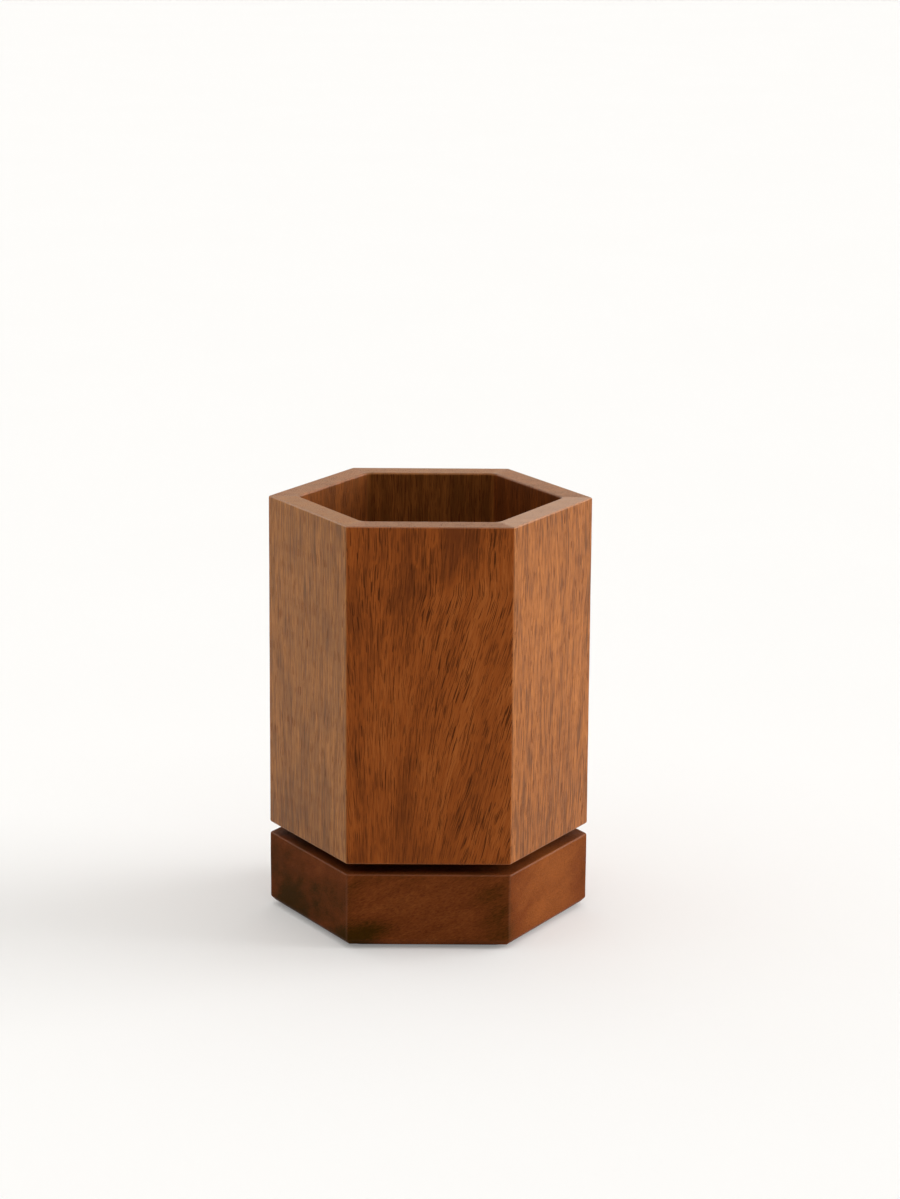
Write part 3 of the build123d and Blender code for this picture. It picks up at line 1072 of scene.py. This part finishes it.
class PENHOLDER_OT_base(bpy.types.Operator):
    """Shape the base block, cut from darker wood with a slanting grain"""

    bl_idname = "penholder.base"
    bl_label = "Base block"

    def execute(self, context):
        settings = context.scene.pen_holder
        along = Vector((1.0, 0.35, 0.42)).normalized()
        across = along.cross(Vector((0.0, 1.0, 0.0))).normalized()
        stains = (
            # Painted shade, partly darker wood: the base's left side is darker, most towards the bottom
            base_stain_and_shade(-1.1, -1.0, 44.0, 0.42),
            base_stain_and_shade(-0.46, 0.1, 11.0, 0.2),
            base_stain_and_shade(0.42, 0.45, 9.0, 0.22),
            base_stain_and_shade(1.0, 0.6, 23.0, -0.27),
        )
        grain = Grain(
            across,
            along,
            seed=211.0,
            band_share=0.45,
            band_size=(5.0, 8.0, 80.0),
            cloud_share=0.3,
            cloud_size=(8.0, 12.0, 60.0),
            fibre_share=0.45,
            pore_share=0.3,
            stains=stains,
            gloss=0.01,
        )
        material = wood("base_block_wood", grain, wood_tones(settings.colours, "base"))
        block = shape_base(settings.sizes, "solid_base", material)
        seat(block, "base", "base_wood", "base_block")
        return {"FINISHED"}


class PENHOLDER_OT_pad(bpy.types.Operator):
    """Shape the rubber pad under the base"""

    bl_idname = "penholder.pad"
    bl_label = "Foot pad"

    def execute(self, context):
        settings = context.scene.pen_holder
        colours = settings.colours
        material = moulded(
            "pad_rubber_skin",
            tuple(colours.rubber),
            tuple(colours.rubber_dust),
            roughness=0.75,
            pebble=RUBBER_PEBBLE,
            relief=RUBBER_RELIEF,
            seed=3.0,
        )
        pad = shape_pad(settings.sizes, "rubber_pad", material)
        seat(pad, "base", "pad_rubber", "foot_pad")
        return {"FINISHED"}


class PENHOLDER_OT_screws(bpy.types.Operator):
    """Shape both sets of turntable screws"""

    bl_idname = "penholder.screws"
    bl_label = "Screws"

    def execute(self, context):
        settings = context.scene.pen_holder
        sizes, colours = settings.sizes, settings.colours
        zinc, dull = tuple(colours.screw_zinc), tuple(colours.screw_dull)
        material = plated("screw_plating", zinc, dull, roughness=0.34, seed=61.0, spun=False)
        lower_seat = BASE_SCREW_HIGH.z - sizes.head_height
        upper_seat = CUP_SCREW_LOW.z + sizes.head_height
        lower_length = lower_seat - BASE_SCREW_LOW.z
        upper_length = CUP_SCREW_HIGH.z - upper_seat
        lower = shape_screws(
            sizes, "base_plate_screws", material, lower_seat, lower_length, BASE_SCREW_ANGLE, upward=False
        )
        upper = shape_screws(
            sizes, "cup_plate_screws", material, upper_seat, upper_length, CUP_SCREW_ANGLE, upward=True
        )
        seat(lower, "base", "screw_steel", "base_screws")
        seat(upper, "cup", "screw_steel", "cup_screws")
        return {"FINISHED"}


class PENHOLDER_OT_turntable(bpy.types.Operator):
    """Finish the turntable's plates, rivet, washer, cage and balls"""

    bl_idname = "penholder.turntable"
    bl_label = "Turntable"

    def execute(self, context):
        colours = context.scene.pen_holder.colours
        zinc, dull = tuple(colours.zinc), tuple(colours.zinc_dull)
        dress("lower_plate", plated("lower_plate_zinc", zinc, dull, roughness=0.36, seed=71.0, spun=True))
        dress("upper_plate", plated("upper_plate_zinc", zinc, dull, roughness=0.36, seed=79.0, spun=True))
        dress("pivot_rivet", plated("rivet_zinc", zinc, dull, roughness=0.30, seed=83.0, spun=True))
        brass, tarnish = tuple(colours.brass), tuple(colours.brass_dull)
        sheet = plated("cage_brass_sheet", brass, tarnish, roughness=0.32, seed=89.0, spun=False)
        dress("ball_cage", sheet)
        steel, oil = tuple(colours.ball_steel), tuple(colours.ball_oil)
        dress("bearing_balls", plated("ball_polish", steel, oil, roughness=0.12, seed=97.0, spun=False))
        skin = moulded(
            "washer_nylon_skin",
            tuple(colours.nylon),
            tuple(colours.nylon_dull),
            roughness=0.5,
            pebble=NYLON_PEBBLE,
            relief=NYLON_RELIEF,
            seed=101.0,
        )
        dress("rivet_washer", skin)
        return {"FINISHED"}


def lay_floor(settings):
    """A wide pale floor at the foot of the holder."""
    loft = Loft()
    rim = loft.circle(Vector((0.0, 0.0, 0.0)), FLOOR_REACH, CAD_BOX[0].z)
    loft.mesh.faces.new(rim)
    loft.piece("pale_floor", floor_paint(settings))


def looked_at(shade):
    """1 for what the camera sees, also in a reflection or through glass, and 0 for what light sees."""
    seen = shade.node("ShaderNodeLightPath", output="Is Camera Ray")
    return seen.larger(seen.beside("Is Glossy Ray")).larger(seen.beside("Is Transmission Ray"))


def floor_paint(settings):
    """Matt paint with faint clouds, which the camera sees partly as plain white."""
    colours = settings.colours
    material, shade = new_material("floor_paint")
    cloud = row_place(shade).blots((PAINT_CLOUD,) * 3, 151.0)
    tone = cloud.step(*PAINT_STEP).mix(tuple(colours.floor_shade), tuple(colours.floor))
    finish_surface(material, shade, {"Base Color": tone, "Roughness": 0.9, "Specular IOR Level": 0.0})
    nodes = material.node_tree.nodes
    paint = Shade(material.node_tree, nodes["Principled BSDF"].outputs["BSDF"])
    white = shade.node("ShaderNodeEmission", {}, {"Color": (*colours.floor_white, 1.0), "Strength": 1.0})
    share = looked_at(shade) * settings.stage.floor_white
    both = shade.node("ShaderNodeMixShader", {}, {0: share, 1: paint, 2: white})
    material.node_tree.links.new(both.socket, nodes["Material Output"].inputs["Surface"])
    return material


def light_room(scene, settings):
    """Dim even light from all round, which the camera and reflections see as a pale room."""
    world = bpy.data.worlds.new("pale_room")
    world.use_nodes = True
    scene.world = world
    shade = Shade(world.node_tree)
    room = (*settings.colours.room, 1.0)
    dim = shade.node("ShaderNodeBackground", {}, {"Color": room, "Strength": settings.stage.room_strength})
    pale = shade.node("ShaderNodeBackground", {}, {"Color": room, "Strength": 1.0})
    both = shade.node("ShaderNodeMixShader", {}, {0: looked_at(shade), 1: dim, 2: pale})
    world.node_tree.links.new(both.socket, world.node_tree.nodes["World Output"].inputs["Surface"])


def broad_light(name, towards, power, spread, tint):
    """A soft distant light that stands in the given direction."""
    lamp = bpy.data.lights.new(name, "SUN")
    lamp.energy = power
    lamp.angle = spread
    lamp.color = tint
    light = bpy.data.objects.new(name, lamp)
    light.rotation_euler = towards.to_track_quat("Z", "Y").to_euler()
    bpy.context.scene.collection.objects.link(light)


def place_camera(scene, stage):
    """The camera at the photograph's viewing angle."""
    data = bpy.data.cameras.new("front_view")
    data.lens = stage.focal_length
    rise = stage.view_elevation
    forward = Vector((0.0, math.cos(rise), -math.sin(rise)))
    right = Vector((1.0, 0.0, 0.0))
    axes = Matrix((right, forward.cross(right), forward))
    turn = Matrix.Rotation(stage.view_roll, 3, "Z") @ Matrix.Rotation(stage.view_pan, 3, "Y")
    axes = turn @ Matrix.Rotation(stage.view_tilt, 3, "X") @ axes
    camera = bpy.data.objects.new("front_view", data)
    facing = Matrix((axes[0], -axes[1], -axes[2])).transposed().to_4x4()
    eye = Vector((0.0, 0.0, stage.view_height)) - forward * stage.view_distance
    camera.matrix_world = Matrix.Translation(eye) @ facing
    scene.collection.objects.link(camera)
    scene.camera = camera


class PENHOLDER_OT_stage(bpy.types.Operator):
    """Set the floor, the light and the camera"""

    bl_idname = "penholder.stage"
    bl_label = "Stage"

    def execute(self, context):
        settings = context.scene.pen_holder
        colours, stage = settings.colours, settings.stage
        lay_floor(settings)
        light_room(context.scene, settings)
        broad_light("key_light", KEY_TOWARDS, stage.key_strength, stage.key_spread, colours.key_tint)
        broad_light("top_light", TOP_TOWARDS, stage.top_strength, stage.top_spread, colours.top_tint)
        place_camera(context.scene, stage)
        context.scene.view_settings.view_transform = "Standard"
        return {"FINISHED"}


OPERATORS = (
    PENHOLDER_OT_staves,
    PENHOLDER_OT_cup_floor,
    PENHOLDER_OT_base,
    PENHOLDER_OT_pad,
    PENHOLDER_OT_screws,
    PENHOLDER_OT_turntable,
    PENHOLDER_OT_stage,
)


class PENHOLDER_PT_panel(bpy.types.Panel):
    """The holder's pieces and settings"""

    bl_idname = "PENHOLDER_PT_panel"
    bl_label = "Rotating Pen Holder"
    bl_space_type = "VIEW_3D"
    bl_region_type = "UI"
    bl_category = "Pen Holder"

    def draw(self, context):
        settings = context.scene.pen_holder
        for operator in OPERATORS:
            self.layout.operator(operator.bl_idname)
        for group in (settings.sizes, settings.colours, settings.stage):
            box = self.layout.box()
            for name in group.bl_rna.properties.keys():
                if name not in {"rna_type", "name"}:
                    box.prop(group, name)


CLASSES = (
    PenHolderSizes,
    PenHolderColours,
    PenHolderStage,
    PenHolderSettings,
    *OPERATORS,
    PENHOLDER_PT_panel,
)


def register():
    for item in CLASSES:
        bpy.utils.register_class(item)
    bpy.types.Scene.pen_holder = bpy.props.PointerProperty(
        name="Pen holder", description="Settings of the pen holder", type=PenHolderSettings
    )


def unregister():
    del bpy.types.Scene.pen_holder
    for item in reversed(CLASSES):
        bpy.utils.unregister_class(item)


def main():
    """Build every piece and the stage."""
    register()
    bpy.ops.penholder.staves()
    bpy.ops.penholder.cup_floor()
    bpy.ops.penholder.base()
    bpy.ops.penholder.pad()
    bpy.ops.penholder.screws()
    bpy.ops.penholder.turntable()
    bpy.ops.penholder.stage()


if __name__ == "__main__":
    main()
